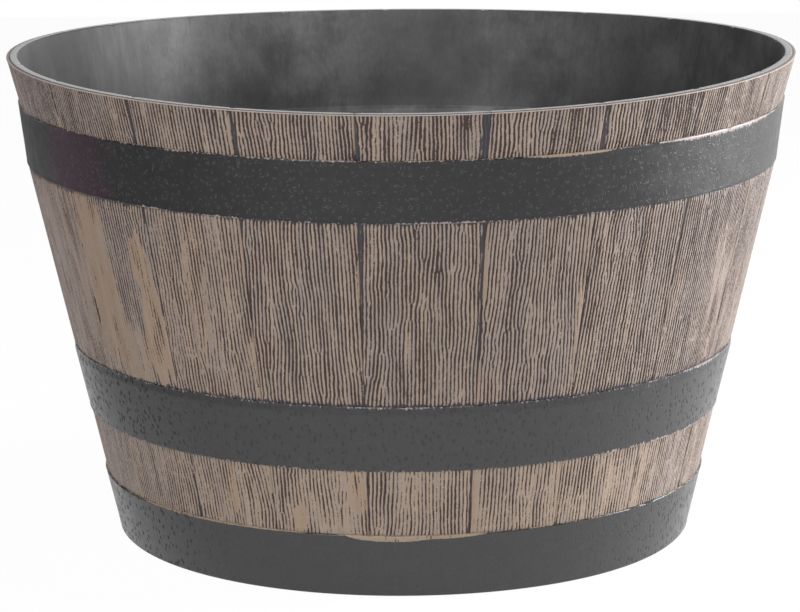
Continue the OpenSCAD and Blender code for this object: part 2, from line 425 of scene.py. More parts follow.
class Finish:
    """A material, or the world, that is put together from nodes."""

    def __init__(self, name, kind="materials"):
        self.owner = getattr(bpy.data, kind).new(name)
        self.owner.use_nodes = True
        self.tree = self.owner.node_tree
        self.tree.nodes.clear()

    def node(self, kind, settings=None, inputs=None, output=0):
        """Adds a node: first its settings, such as a Math node's operation, then its sockets."""
        made = self.tree.nodes.new(kind)
        for key, value in (settings or {}).items():
            setattr(made, key, value)
        for key, value in (inputs or {}).items():
            if isinstance(value, Socket):
                self.tree.links.new(value.output, made.inputs[key])
            else:
                made.inputs[key].default_value = value
        return Socket(self, made.outputs[output])

    def attribute(self, name):
        """A number that is kept on the mesh's points."""
        return self.node("ShaderNodeAttribute", {"attribute_name": name}, output="Fac")

    def place(self, stretch=(1, 1, 1)):
        """Object coordinates, which are metres here, with each axis stretched."""
        spot = self.node("ShaderNodeTexCoord", output="Object")
        return self.node("ShaderNodeVectorMath", {"operation": "MULTIPLY"}, {0: spot, 1: stretch})

    def noise(self, size_mm, detail=2.0, stretch=(1, 1, 1), rough=0.5):
        """Noise about 0, from about -0.5 to 0.5, whose lumps are about that size."""
        sockets = {"Vector": self.place(stretch), "Scale": 1 / (size_mm * MM)}
        sockets |= {"Detail": detail, "Roughness": rough}
        return self.node("ShaderNodeTexNoise", {}, sockets) - 0.5

    def scatter(self, size_mm, stretch=(1, 1, 1)):
        """Distance to the nearest of many scattered points, which stand about that far apart."""
        sockets = {"Vector": self.place(stretch), "Scale": 1 / (size_mm * MM)}
        return self.node("ShaderNodeTexVoronoi", {}, sockets, output="Distance")

    def step(self, value, low, high):
        """Smooth step of a value from 0 at low to 1 at high."""
        sockets = {"Value": value, "From Min": low, "From Max": high}
        return self.node("ShaderNodeMapRange", {"interpolation_type": "SMOOTHSTEP"}, sockets)

    def blend(self, share, first, second):
        """Colour between two colours."""
        return self.node("ShaderNodeMix", {"data_type": "RGBA"}, {0: share, 6: first, 7: second}, output=2)

    def scaled(self, colour, factor):
        """Colour times a number."""
        return self.node("ShaderNodeVectorMath", {"operation": "SCALE"}, {0: colour, "Scale": factor})

    def bump(self, height_mm):
        """Normal of a relief in mm."""
        return self.node("ShaderNodeBump", {}, {"Height": height_mm, "Strength": 1.0, "Distance": MM})

    def ended(self, shader, kind="Material"):
        """The material or world, once a shader is linked to its output."""
        end = self.tree.nodes.new(f"ShaderNodeOutput{kind}")
        self.tree.links.new(shader.output, end.inputs["Surface"])
        return self.owner

    def surface(self, **sockets):
        """Ends the finish with one surface shader. A word with a _ names a socket with a space."""
        named = {key.replace("_", " "): value for key, value in sockets.items()}
        return self.ended(self.node("ShaderNodeBsdfPrincipled", {}, named))


def srgb(red, green, blue):
    """Linear colour of screen values from 0 to 255."""
    parts = [c / 255 for c in (red, green, blue)]
    return tuple(c / 12.92 if c <= 0.04045 else ((c + 0.055) / 1.055) ** 2.4 for c in parts) + (1.0,)


print("a screen grey of 128 is a linear", round(srgb(128, 128, 128)[0], 3))

# %% [markdown]
# ## Wood-effect finish
#
# On the real planter the whole wall is dark resin, and tan paint is wiped on so that only the ridges take
# it. The shader repeats that: one height decides where paint lies, and a little fine noise frays the edge
# of each line. The paint itself turns between a greyish and a yellowish tan from ridge to ridge.

# %% Paint over resin
PAINT_GREY = srgb(150, 137, 130)
PAINT_TAN = srgb(153, 136, 121)
PAINT_FILL = srgb(154, 132, 112)
PAINTED_HIGHLIGHT = srgb(205, 196, 188)
GROOVE_BROWN = srgb(55, 38, 33)
RESIN_BARE = srgb(44, 47, 53)
RESIN_PURPLE = srgb(58, 47, 52)


def wood_finish():
    """Paint where the ridge is high and not bare, dark resin elsewhere, and both uneven in tone."""
    made = Finish("wood_effect")
    ridge = made.attribute("ridge")
    bare = made.attribute("bare")
    fill = made.attribute("fill")
    tone = made.attribute("tone")
    fray = made.noise(1.0, 2.0, (1, 1, 0.8), 0.6)
    torn = made.noise(2.2, 3.0, (1, 1, 0.4), 0.65)
    high_ridge = made.step(ridge, 0.2, 0.9)
    rough_bare = made.step(bare + fray * 0.5 + torn * 0.8 - high_ridge * 0.38, 0.35, 0.65)
    cover = made.step(ridge + fray * 2.1, -0.35, 0.35) * (1 - rough_bare)
    patchy = made.noise(26, 2.0, (1, 1, 0.4))
    shade = made.step(tone * 0.3 + patchy * 1.2, -0.75, 0.75)
    paint = made.blend(shade, PAINT_GREY, PAINT_TAN)
    paint = made.blend(fill, paint, PAINT_FILL)
    speck = made.noise(2.4, 3.0, (1, 1, 0.3), 0.6)
    paint = made.scaled(paint, 1 + speck * 0.25 + tone * 0.04)
    # Painted highlight: pale specks on the ridges, as where the paint catches the light
    painted_glint = made.step(made.noise(0.8, 1.0, (1, 1, 0.7)), 0.17, 0.25)
    paint = made.blend(painted_glint * 0.5, paint, PAINTED_HIGHLIGHT)
    resin = made.blend(made.step(torn, -0.1, 0.2), RESIN_BARE, RESIN_PURPLE)
    deep = made.blend(rough_bare, GROOVE_BROWN, resin)
    deep = made.scaled(deep, 1 + speck * 0.9 + fray * 0.5 + made.step(ridge, -0.6, 0.6) * rough_bare * 0.5)
    colour = made.blend(cover, deep, paint)
    relief = fray * 0.14 + cover * 0.05 + made.noise(0.5, 1.0) * 0.03
    return made.surface(
        Base_Color=colour,
        Roughness=0.42 + speck * 0.25 + cover * 0.04,
        Sheen_Weight=0.16,
        Sheen_Roughness=0.4,
        Sheen_Tint=(1.0, 0.86, 0.95, 1.0),
        Normal=made.bump(relief),
        IOR=1.45,
    )


WOOD = wood_finish()
print("wood finish has", len(WOOD.node_tree.nodes), "nodes")

# %% [markdown]
# ## Staves
#
# A stave is a strip between two joints. Its face follows the wood's radius, steps back behind each hoop,
# and is cut by the grain and by a bare sunk strip at a joint, as in the photograph. The points stand half a
# millimetre apart across the grain, where the relief is sharp, and further apart along it.

# %% Sizes of the stave relief
COLUMNS = 184
ROW_GAP = 1.7
TOP_ROW_GAP = 1.4
HIDDEN_ROW_GAP = 30
GROOVE_DEPTH = 0.5
BARE_DEPTH = 0.65
SEAM_DEPTH = 0.9
SEAM_W = 0.55
SEAM_FALL = 1.2
EDGE_W = 1.2
# How much more yellow the paint is below the middle hoop, and how much greyer and darker at the left and
# right, as painted shade and sheen where the light grazes the sides
LOW_TONE = 1.8
SIDE_PAINTED_SHADE = 2.0
# How much higher the ridges stand below the middle hoop, and how much lower above the upper one
LOW_LIFT = 0.36
TOP_FALL = 0.12
# How uneven the ridges are in height: everywhere, and more below the middle hoop and above the upper one
WAVER = 0.08
LOW_WAVER = 0.08
TOP_WAVER = 0.06
# Paint that fills the grain lifts it by this, unevenly
FILL_LIFT = 1.25
FILL_WAVER = 0.55
print("columns stand", round(math.radians(STAVE_PITCH) * RIM_R / COLUMNS, 2), "mm apart at the rim")

# %% Places of the bare strips and the smooth patches
# Width of the bare strip at these heights, at a joint before a turned one, a turned one and the next one
BARE_HEIGHTS = (44, 92, 138, 200, 269, 312, 343)
BARE_WIDTHS = (
    (0.8, 0.6, 0.4, 0.9, 3.8, 3.6, 1.2),
    (2.0, 1.6, 0.9, 1.3, 3.4, 6.0, 5.6),
    (0.5, 0.4, 0.3, 0.6, 2.6, 4.6, 3.6),
)
# How much of it shows above the upper hoop and below it, for the joints that the photograph shows
BARE_SHARE = {
    17: (0.2, 0.2),
    18: (0.3, 0.3),
    19: (0.4, 0.35),
    20: (0.8, 0.7),
    0: (1.0, 1.0),
    1: (1.0, 1.0),
    2: (0.9, 0.15),
    3: (0.4, 0.8),
    4: (0.3, 0.2),
}
# For the other joints it is drawn between these
BARE_SHARE_ELSEWHERE = (0.5, 1.1)
# Bands beside a hoop where the paint is missing, whose dark resin also stands for painted shade at the
# hoop's edge: height of the hoop's edge, and width
BARE_AND_SHADED_BANDS = ((MIDDLE_TOP, 1.9), (UPPER_LOW, 1.3))
# Smooth patches, where paint has filled the grain: centre and half sizes across and up, and how full
PATCHES = {
    0: ((0, 328, 46, 22, 0.14),),
    17: ((0, 200, 45, 80, 0.5),),
    18: ((-23, 203, 18, 70, 1), (28, 190, 12, 58, 1), (3, 156, 14, 24, 0.75)),
    19: ((1.5, 72, 3.4, 17, 1), (-2, 205, 10, 52, 0.5), (0, 205, 60, 90, 0.15)),
    20: ((26, 75, 6.5, 16, 1), (-14, 54, 5, 10, 0.9)),
    1: ((-30, 66, 2.2, 22, 1), (-37, 225, 1.4, 52, 1), (33, 205, 2.0, 56, 0.55)),
    3: ((0, 328, 42, 22, 0.18), (30, 190, 20, 55, 0.3)),
    4: ((0, 328, 46, 22, 0.1), (0, 170, 46, 45, 0.18)),
}
print("smooth patches", sum(len(patches) for patches in PATCHES.values()), "on", len(PATCHES), "staves")


# %% Where a stave has paint
def bare_strip(rng, joint, z, distance):
    """1 in the bare strip beside a joint and 0 beyond its wavering width, at distances from the joint."""
    width = np.interp(z, BARE_HEIGHTS, BARE_WIDTHS[joint % TURNED_JOINT])
    above, below = BARE_SHARE.get(joint % len(STAVES), (rng.uniform(*BARE_SHARE_ELSEWHERE),) * 2)
    width = width * np.where(z > UPPER_LOW, above, below)
    waver = np.interp(z, np.arange(0, 360, 6), rng.standard_normal(60)) * 0.4
    return step(width + waver - distance, -0.5, 0.7)


def edges(rng, i, z, after, before):
    """Masks of a stave's edges: its bare strips, and a line of paint where a joint's strip isn't its own."""
    bare, painted = np.zeros(z.shape), np.zeros(z.shape)
    for joint, way, has_strip in ((i, after, not is_turned(i)), (i + 1, before, is_turned(i + 1))):
        if has_strip:
            bare = np.maximum(bare, bare_strip(rng, joint, z, way))
        else:
            painted = np.maximum(painted, step(way, EDGE_W + 0.6, EDGE_W - 0.4))
    return bare, painted


def bare_and_shaded_bands(strokes, z):
    """1 in the ragged bands beside the hoops, where the paint is missing and the dark resin is partly
    painted shade.
    """
    beside = [step(width + 0.7 * strokes - np.abs(z - edge), -1.0, 1.0) for edge, width in BARE_AND_SHADED_BANDS]
    return np.max(beside, axis=0)


def filled(i, u, z, ragged):
    """How full of paint the grain is. A patch is a rounded box, a sum of two cubes, that the noise frays."""
    fill = np.zeros(z.shape)
    for across, up, half_w, half_h, full in PATCHES.get(i, ()):
        distance = np.abs((u - across) / half_w) ** 3 + np.abs((z - up) / half_h) ** 3
        fill = np.maximum(fill, full * step(distance + 0.35 * ragged, 1.25, 0.6))
    return fill


# %% Rows of a stave
def stave_section():
    """Heights of the face's rows, and whether each is hidden behind a hoop, where it has no relief."""
    parts = (
        (FLANGE_Z, FOOT_TOP, HIDDEN_ROW_GAP, True),
        (FOOT_TOP, MIDDLE_LOW, ROW_GAP, False),
        (MIDDLE_LOW, MIDDLE_TOP, HIDDEN_ROW_GAP, True),
        (MIDDLE_TOP, UPPER_LOW, ROW_GAP, False),
        (UPPER_LOW, UPPER_TOP, HIDDEN_ROW_GAP, True),
        (UPPER_TOP, LIP_Z, TOP_ROW_GAP, False),
    )
    heights = [spaced(low, high, gap) for low, high, gap, _ in parts]
    behind = [np.full(len(z), hidden) for z, (_, _, _, hidden) in zip(heights, parts)]
    return np.concatenate(heights), np.concatenate(behind)


print("a stave's face has", len(stave_section()[0]), "rows")

# %% Make the staves
STAVE_SEED = 100
# Where a stave's middle lies on its sheets of noise, in mm
NOISE_SHIFT = 45


def make_stave(i):
    """A stave between two joints: the wood's radius less the grooves, the bare strips and the seams."""
    rng = np.random.default_rng(STAVE_SEED + i)
    start, end = joint_at(i), joint_at(i + 1)
    face_z, behind = stave_section()
    angle = start + (end - start) * np.linspace(0, 1, COLUMNS)[None]
    z = face_z[:, None] + 0 * angle
    r = wood_r(z)
    u = (angle - (start + end) / 2) * r
    after, before = (angle - start) * r, (end - angle) * r
    ridge, tone = grain(rng, u + GRAIN_SHEET[0] / 2, z)
    ragged = sample(cloud(rng, GRAIN_SHEET, 5, 22), GRAIN_SHEET, u + NOISE_SHIFT, z)
    bare, painted = edges(rng, i, z, after, before)
    strokes = sample(cloud(rng, GRAIN_SHEET, 1.3, 30), GRAIN_SHEET, u + NOISE_SHIFT, z)
    # Bare bands beside the hoops, partly painted shade along the hoops' edges
    bare = np.maximum(bare, bare_and_shaded_bands(strokes, z))
    fill = np.maximum(filled(i, u, z, ragged), painted * step(ragged, -0.6, 0.2))
    low, top = step(z, MIDDLE_LOW + 2, MIDDLE_LOW), step(z, UPPER_TOP - 2, UPPER_TOP)
    # Painted shade and sheen: greyer and darker paint towards the left and right sides
    tone = tone + LOW_TONE * low - SIDE_PAINTED_SHADE * step(np.abs(np.cos(angle)), 0.6, 0.9)
    ridge = ridge + LOW_LIFT * low - TOP_FALL * top + (WAVER + LOW_WAVER * low + TOP_WAVER * top) * ragged
    seam = np.exp(-((np.minimum(after, before) / SEAM_W) ** 2))
    ridge = ridge + fill * (FILL_LIFT + FILL_WAVER * ragged) - SEAM_FALL * seam
    groove = 1 - step(ridge, -0.7, 0.35)
    relief = GROOVE_DEPTH * groove * (1 - 0.6 * bare) + BARE_DEPTH * bare
    relief = np.maximum(relief, SEAM_DEPTH * seam)
    back_z = np.array([LIP_Z, UPPER_TOP, UPPER_LOW, FLANGE_Z])[:, None] + 0 * angle
    back = wood_r(back_z) - STAVE_BACK
    radius = np.concatenate([r - np.where(behind[:, None], BACK_GAP, relief), back])
    layers = {"ridge": ridge, "bare": bare, "fill": fill, "tone": tone}
    layers = {key: np.concatenate([values, np.zeros(back.shape)]) for key, values in layers.items()}
    name = f"stave_face_{i + 1:02d}"
    mesh = grid_mesh(name, angle, radius, np.concatenate([z, back_z]), False, layers)
    return dress(name, mesh, WOOD, "planter", "wood_effect_resin", STAVES[i])


made_staves = [make_stave(i) for i in range(len(STAVES))]
print("a stave has", len(made_staves[0].data.polygons), "faces")

# %% [markdown]
# ## Hammered hoops
#
# The hoops copy beaten iron. The upper one is covered with small round craters, each with a thin raised
# lip, and the other two have small dark upright marks, most of them at the sides. Craters stand in the
# cells of a loose net. Each point of the mesh keeps the square of its distance to the nearest crater's
# centre, from which the shader draws the crater sharper than the points could, and paints a highlight on
# arcs round it.

# %% Craters in a loose net
PIT_EDGE = 1.5
PIT_JITTER = 0.36
NO_PIT = 0.01
FAR = 9.0


def nearest_pit(rng, u, v, length, low, high, cell, radius, share):
    """Square of each point's distance to its nearest pit, in that pit's radii. A cell holds one at most."""
    columns = int(round(length / cell))
    rows = max(1, int((high - low) // cell))
    wide, tall = length / columns, (high - low) / rows
    jitter = rng.uniform(-PIT_JITTER, PIT_JITTER, (2, rows, columns))
    sizes = rng.uniform(*radius, (rows, columns))
    sizes = np.where(rng.uniform(size=sizes.shape) < share, sizes, NO_PIT)
    column = np.floor(u / wide).astype(int)
    row = np.floor((v - low) / tall).astype(int)
    best = np.full(u.shape, FAR)
    for down in (-1, 0, 1):
        for side in (-1, 0, 1):
            j = np.clip(row + down, 0, rows - 1)
            i = (column + side) % columns
            shift = 0.5 * (j % 2)
            centre_u = (column + side + 0.5 + shift + jitter[0, j, i]) * wide
            centre_v = low + (j + 0.5 + jitter[1, j, i]) * tall
            best = np.minimum(best, ((u - centre_u) ** 2 + (v - centre_v) ** 2) / sizes[j, i] ** 2)
    return best


def crater(distance, lip):
    """Depth share of a pit at a distance in radii: a flat bottom, a steep wall and a thin raised lip."""
    bowl = 1 - step(distance, 0.45, 1.0)
    return bowl - lip * np.exp(-(((distance - 1.12) / 0.2) ** 2))


print("a crater from its middle outwards:", crater(np.linspace(0, 1.5, 7), 0.8).round(2))

# %% Hoop finishes
HOOP_PURPLE = srgb(42, 22, 35)
HOOP_PAINT = srgb(154, 135, 117)
PALE_BEAD_AND_HIGHLIGHT = srgb(176, 164, 162)


def hoop_finish(name, grey, painted_ring_highlight, dashes, cloudy, roughness, ior):
    """Dark resin with painted highlight arcs round the craters or small dark dashes, and paint and pale
    beads at its edges, the beads partly painted highlight.
    """
    made = Finish(name)
    near = made.node("ShaderNodeMath", {"operation": "SQRT"}, {0: made.attribute("pit")})
    ring = made.step(near, 0.62, 0.95) * made.step(near, 1.5, 1.15)
    highlight_arc = ring * made.step(made.noise(2.0, 1.0), -0.02, 0.14)
    stain = made.attribute("stain")
    mottle = made.noise(9, 3.0, (1, 1, 1), 0.55)
    fine = made.noise(0.8, 2.0)
    grit = made.noise(1.5, 2.0, (1, 1, 0.6), 0.6)
    dash = made.step(made.scatter(3.3, (1, 1, 0.5)), 0.36, 0.2) * made.attribute("marks") * dashes
    strokes = made.noise(1.7, 2.0, (1, 1, 0.12), 0.6)
    colour = made.blend(made.step(stain + mottle, 0.1, 0.65), grey, HOOP_PURPLE)
    # Painted highlight: the arcs round the upper hoop's craters lighten its colour
    light = 1 + mottle * cloudy + fine * 0.5 + grit * 0.5 - dash * 1.1 + highlight_arc * painted_ring_highlight
    # Painted shade: a hoop's upper slope is a quarter darker
    colour = made.scaled(colour, light * (1 - made.attribute("slope") * 0.25))
    # Pale beads along the edges: partly worn paint, partly painted highlight where the edges catch the light
    bead_and_highlight = made.step(made.attribute("pale") + strokes * 2.4 + grit * 1.2, -0.15, 0.25) * 0.8
    colour = made.blend(bead_and_highlight, colour, PALE_BEAD_AND_HIGHLIGHT)
    notch = made.step(strokes, 0.12, 0.18)
    ragged = made.step(made.attribute("paint") + strokes * 1.6, -0.2, 0.2) * (1 - notch) * (1 - dash)
    colour = made.blend(ragged, colour, HOOP_PAINT)
    relief = mottle * 0.12 + fine * 0.05 + grit * 0.06 + highlight_arc * 0.07 - dash * 0.2
    relief = relief + ragged * 0.12 + bead_and_highlight * 0.12
    return made.surface(
        Base_Color=colour,
        Roughness=roughness + mottle * 0.3 + ragged * 0.15 + dash * 0.35,
        Normal=made.bump(relief),
        IOR=ior,
    )


UPPER_FINISH = hoop_finish(
    "hoop_cratered", srgb(28, 28, 28), painted_ring_highlight=3.2, dashes=0.0, cloudy=1.4, roughness=0.38, ior=1.52
)
LOWER_FINISH = hoop_finish(
    "hoop_pitted", srgb(48, 48, 48), painted_ring_highlight=0.0, dashes=1.0, cloudy=0.4, roughness=0.26, ior=1.6
)
print("each hoop finish has", len(UPPER_FINISH.node_tree.nodes), "nodes")

# %% [markdown]
# ## Paint that ran over a hoop
#
# The wiping cloth didn't stop at the hoops. Over the foot hoop the paint hangs down in one long shallow
# tongue at the front, and the upper hoop's top edge has ragged specks of it. These are a line round the
# hoop: above it there is paint, and below it bare resin.


# %% Where a hoop is drawn in, and how far its paint reaches
HOOP_GAP = 0.95
TOP_GAP = 1.3
DENT = 0.07
FRAY = 0.22
STAIN_AT = -145
STAIN_HALF = 8
OVAL_FOOT = 3.1
FOOT_BULGE = 1.4
BULGE_AT = -48
BULGE_SPREAD = 0.2
NO_PAINT = (-3, -3)


def apart(angle, direction):
    """Turn from a direction, given in degrees, to an angle: in radians, from -pi to pi."""
    return np.angle(np.exp(1j * (angle - math.radians(direction))))


def drawn_in(angle, z):
    """How far the foot is drawn in, in mm: most at the ground at the left and right, less at its bulge."""
    bulge = FOOT_BULGE * np.exp(-(apart(angle, BULGE_AT) ** 2) / BULGE_SPREAD)
    return (OVAL_FOOT * (0.5 + 0.5 * np.cos(2 * angle)) ** 1.5 - bulge) * np.clip(1 - z / FOOT_TOP, 0, 1)


def paint_line(rng, angle, tongues, waver):
    """How far paint reaches over an edge, in mm: a waver with a smooth tongue at each direction."""
    low, high = waver
    reach = np.interp(angle % (2 * math.pi), np.linspace(0, 2 * math.pi, 181), rng.uniform(low, high, 181))
    for direction, half, depth in tongues:
        off = np.degrees(apart(angle, direction))
        reach = np.maximum(reach, depth * np.clip(1 - (off / half) ** 2, 0, 1) ** 0.6)
    return reach


print("the foot is drawn in at the right by", round(float(drawn_in(0.0, 0.0)), 2), "mm")


# %% Grid of a hoop's face
def hoop_grid(rng, node, pits):
    """Angle, height, radius and nearness to a pit: the node's section carried round, less dents and pits."""
    levels, _, outer = rings(node)
    low, high = levels[0], levels[-1]
    on_face = outer > np.interp(levels, [low, high], [outer[0], outer[-1]]) - 0.3
    levels, outer = levels[on_face], outer[on_face]
    length = 2 * math.pi * outer.mean()
    angle = np.linspace(0, 2 * math.pi, int(length / HOOP_GAP), endpoint=False)[None]
    rows = [levels, spaced(levels[1], levels[-2], HOOP_GAP), spaced(levels[-2], high, TOP_GAP)]
    face_z = np.unique(np.concatenate(rows))
    z = face_z[:, None] + 0 * angle
    u = angle / (2 * math.pi) * length + 0 * z
    inside = step(z, low + 0.6, low + 2) * step(z, high - 0.6, high - 2)
    sheet = (length, 60.0, length / 600, 2.0)
    relief = DENT * (1.5 + sample(cloud(rng, sheet, 40, 20), sheet, u, z))
    square = np.full(z.shape, FAR)
    if pits:
        net = pits["cell"], pits["radius"], pits["share"]
        square = nearest_pit(rng, u, z, length, low + PIT_EDGE, high - PIT_EDGE, *net)
        relief = relief + pits["depth"] * crater(np.sqrt(square), pits["lip"])
    radius = np.interp(face_z, levels, outer)[:, None] - relief * inside - drawn_in(angle, z)
    fray = sample(cloud(rng, sheet, 7, 20), sheet, u, 0 * z)
    z = z - FRAY * np.clip(fray + 0.4, 0, 2) * step(z, high - 1.2, high)
    return angle, z, radius, square


# %% Wear and painted light of a hoop's face
def hoop_wear_and_painted_light(rng, angle, above, below, comb=1.0, slope=0.0, stained=0.0, marked=0.0, **lines):
    """Masks at points above a hoop's lower edge and below its top: paint and wear that reach past them, pale
    edges that are partly painted highlight, and painted shade on an upper slope.
    """
    kinds = ("paint", "pale", "pale_low")
    reach = {key: paint_line(rng, angle, *lines.get(key, ((), NO_PAINT))) for key in kinds}
    pale = np.maximum(reach["pale"] - below, reach["pale_low"] - above)
    return {
        "stain": stained * np.exp(-((np.degrees(apart(angle, STAIN_AT)) / STAIN_HALF) ** 2)) + 0 * below,
        "paint": np.clip(reach["paint"] - below, -3, 3) / comb,
        "pale": np.clip(pale, -3, 3) / comb,
        # Painted shade on a hoop's upper slope
        "slope": step(-below, -slope - 0.7, -slope + 0.7) if slope else 0 * below,
        "marks": np.maximum(marked, step(np.abs(np.cos(angle)), 0.45, 0.8)) + 0 * below,
    }


# %% Make the hoops
def make_hoop(name, node, finish, seed, pits=None, **wear_and_painted_light):
    """A hoop: a worn face on a grid, closed by two rows at its back."""
    rng = np.random.default_rng(seed)
    levels, inner, _ = rings(node)
    low, high = levels[0], levels[-1]
    angle, z, radius, square = hoop_grid(rng, node, pits)
    layers = {"pit": square, **hoop_wear_and_painted_light(rng, angle, z - low, high - z, **wear_and_painted_light)}
    layers = {key: np.concatenate([values, values[[-1, 0]]]) for key, values in layers.items()}
    back_z = np.array([high, low])[:, None] + 0 * angle
    back = inner[[-1, 0]][:, None] + 0 * angle
    mesh = grid_mesh(name, angle, np.concatenate([radius, back]), np.concatenate([z, back_z]), True, layers)
    print(name, "has", len(mesh.polygons), "faces")
    return dress(name, mesh, finish, "planter", "hoop_resin", node)


CRATERS = {"cell": 4.3, "radius": (0.85, 1.35), "share": 0.9, "depth": 0.06, "lip": 0.8}
# Each line: tongues as (direction, half width, depth), and how little and how much it reaches elsewhere
# The pale lines are edges that are partly worn paint and partly painted highlight
UPPER = {
    "comb": 2.0,
    "stained": 1.0,
    "paint": (((-66, 7, 1.8),), (-1.0, 0.0)),
    "pale": (((-37, 15, 3.0),), (-0.5, 0.7)),
    "pale_low": (((-84, 7.5, 1.0), (-128, 3, 0.9), (-116, 4, 0.7)), (-2.5, 0.0)),
}
MIDDLE = {
    "comb": 2.6,
    # Height of the upper slope that takes the painted shade
    "slope": 6.0,
    "marked": 0.5,
    "paint": ((), (-1.4, 0.2)),
    "pale": (((-28, 9, 1.6), (-91, 6, 0.8)), (-1.5, -0.4)),
    "pale_low": (((-28, 34, 1.0),), (-2, -0.5)),
}
FOOT = {
    "paint": (((-92, 8.5, 4.3), (-84, 9, 2.6), (-128, 22, 1.0)), (-0.5, 0.5)),
    "pale_low": ((), (-2, -1)),
}
make_hoop("hoop_upper_band", "hoop_upper", UPPER_FINISH, 11, CRATERS, **UPPER)
make_hoop("hoop_middle_band", "hoop_middle", LOWER_FINISH, 12, **MIDDLE)
make_hoop("hoop_foot_band", "hoop_foot", LOWER_FINISH, 13, **FOOT)

# %% [markdown]
# ## Tub
#
# The tub is one shell: floor, inner wall with its small ledge, flat rim, and foot. Its section is a loop
# that starts at the drain hole and comes back to it underneath. The rim gets what shows in the photograph:
# a groove across it at every joint, a chip at the groove's inner end, and a fine step along its outer edge.

# %% Section of the tub
RECESS_Z = 6
FLOOR_Z = 14
FLOOR_EDGE_Z = 16
BEVEL_Z = 24
LEDGE_LOW = 264.8
LEDGE_Z = 267
GROOVE_Z = 343.5
DRAIN_R, FLOOR_RING_R = ring("tub", FLOOR_Z)
FLOOR_R = ring("tub", FLOOR_EDGE_Z)[0]
GROUND_IN_R, GROUND_OUT_R = ring("tub", 0)
RECESS_R = ring("tub", RECESS_Z)[1]
print("radius of drain", DRAIN_R.round(1), "floor", FLOOR_R.round(1), "foot", GROUND_OUT_R.round(1))
# The outer step of the rim, the dark line in it, and the small roundings of the rim's two edges
STEP_W = 2.5
STEP_DROP = 0.5
DARK_W = 0.7
RIM_ROUND = 0.6
EDGE_ROUND = 0.3
EDGE_INSET = 0.05
# Parts of the section, which the finish tells apart
FLOOR_PART, INSIDE, RIM, LIP, HIDDEN, STEP = range(6)


def tub_section():
    """Corners of the section from the drain hole on: radius, height, gap between the rows after it, part."""

    def back(z):
        return wood_r(z) - STAVE_BACK - CLEARANCE

    return [
        (DRAIN_R, FLOOR_Z, 4, FLOOR_PART),
        (FLOOR_RING_R, FLOOR_Z, 12, FLOOR_PART),
        (FLOOR_R, FLOOR_EDGE_Z, 3, FLOOR_PART),
        (ring("tub", BEVEL_Z)[0], BEVEL_Z, 9, INSIDE),
        (ring("tub", LEDGE_LOW)[0], LEDGE_LOW, 1, INSIDE),
        (ring("tub", LEDGE_Z)[0], LEDGE_Z, 8, INSIDE),
        (RIM_IN - 0.1, HEIGHT - RIM_ROUND, 1, INSIDE),
        (RIM_IN + 0.5, HEIGHT, 1.2, RIM),
        (RIM_R - STEP_W, HEIGHT, 0.5, STEP),
        (RIM_R - STEP_W + 0.15, HEIGHT - STEP_DROP, 0.5, STEP),
        (RIM_R - STEP_W + DARK_W, HEIGHT - STEP_DROP, 1, LIP),
        (RIM_R - EDGE_ROUND, HEIGHT - STEP_DROP, 1, LIP),
        (RIM_R - EDGE_INSET, HEIGHT - STEP_DROP - EDGE_ROUND, 1, LIP),
        (RIM_R - EDGE_INSET, LIP_Z, 5, LIP),
        (back(LIP_Z), LIP_Z, 40, HIDDEN),
        (back(UPPER_TOP), UPPER_TOP, 50, HIDDEN),
        (back(UPPER_LOW), UPPER_LOW, 90, HIDDEN),
        (back(FLANGE_Z), FLANGE_Z, 5, HIDDEN),
        (wood_r(FLANGE_Z) - BACK_GAP, FLANGE_Z, 5, HIDDEN),
        (GROUND_OUT_R, 0, 9, HIDDEN),
        (GROUND_IN_R, 0, 5, HIDDEN),
        (RECESS_R, RECESS_Z, 30, HIDDEN),
        (DRAIN_R, RECESS_Z, 5, HIDDEN),
    ]


# %% Finish of the tub
TUB_DARK = srgb(61, 61, 61)
TUB_CLOUD = srgb(93, 93, 93)
TUB_SCUFF = srgb(120, 120, 120)
RIM_PAINTED_HIGHLIGHT = srgb(210, 210, 209)
LIP_PINK = srgb(186, 168, 161)


def tub_finish():
    """Dark resin, brushed with upright streaks inside, cloudy and scuffed, with painted light and shade
    inside and a painted highlight that makes the rim paler.
    """
    made = Finish("tub_resin")
    rim = made.attribute("rim")
    line = made.attribute("line")
    painted = made.attribute("painted")
    streak = made.noise(5, 4.0, (1, 1, 0.12), 0.6)
    clouds = made.noise(60, 3.0, (1, 1, 0.8), 0.5)
    fine = made.noise(1.8, 3.0, (1, 1, 0.35), 0.6)
    blotch = made.noise(24, 4.0, (1, 1, 1), 0.65)
    scuff = made.step(made.noise(14, 4.0, (1, 1, 0.2), 0.7), 0.12, 0.3)
    colour = made.blend(made.step(clouds + blotch * 0.6 + streak * 0.3, -0.25, 0.3), TUB_DARK, TUB_CLOUD)
    colour = made.blend(scuff * 0.25, colour, TUB_SCUFF)
    # Painted highlight: the rim's top and outer edge are made pale, as where they face the light
    colour = made.blend(rim * 0.9, colour, RIM_PAINTED_HIGHLIGHT)
    colour = made.blend(made.step(painted + fine, 0.3, 0.7), colour, LIP_PINK)
    # Painted light and shade inside the tub, made uneven by the blotches
    painted_light_inside = 1 + made.attribute("wear_and_painted_light") * (1 + blotch * 1.6)
    colour = made.scaled(colour, (1 + fine * 0.7) * (1 - line * 0.8) * painted_light_inside)
    relief = streak * 0.12 + fine * 0.05 + clouds * 0.4
    return made.surface(
        Base_Color=colour,
        Roughness=0.58 + streak * 0.25 + clouds * 0.2,
        Normal=made.bump(relief),
        IOR=1.5,
    )


TUB = tub_finish()
print("the tub's finish has", len(TUB.node_tree.nodes), "nodes")

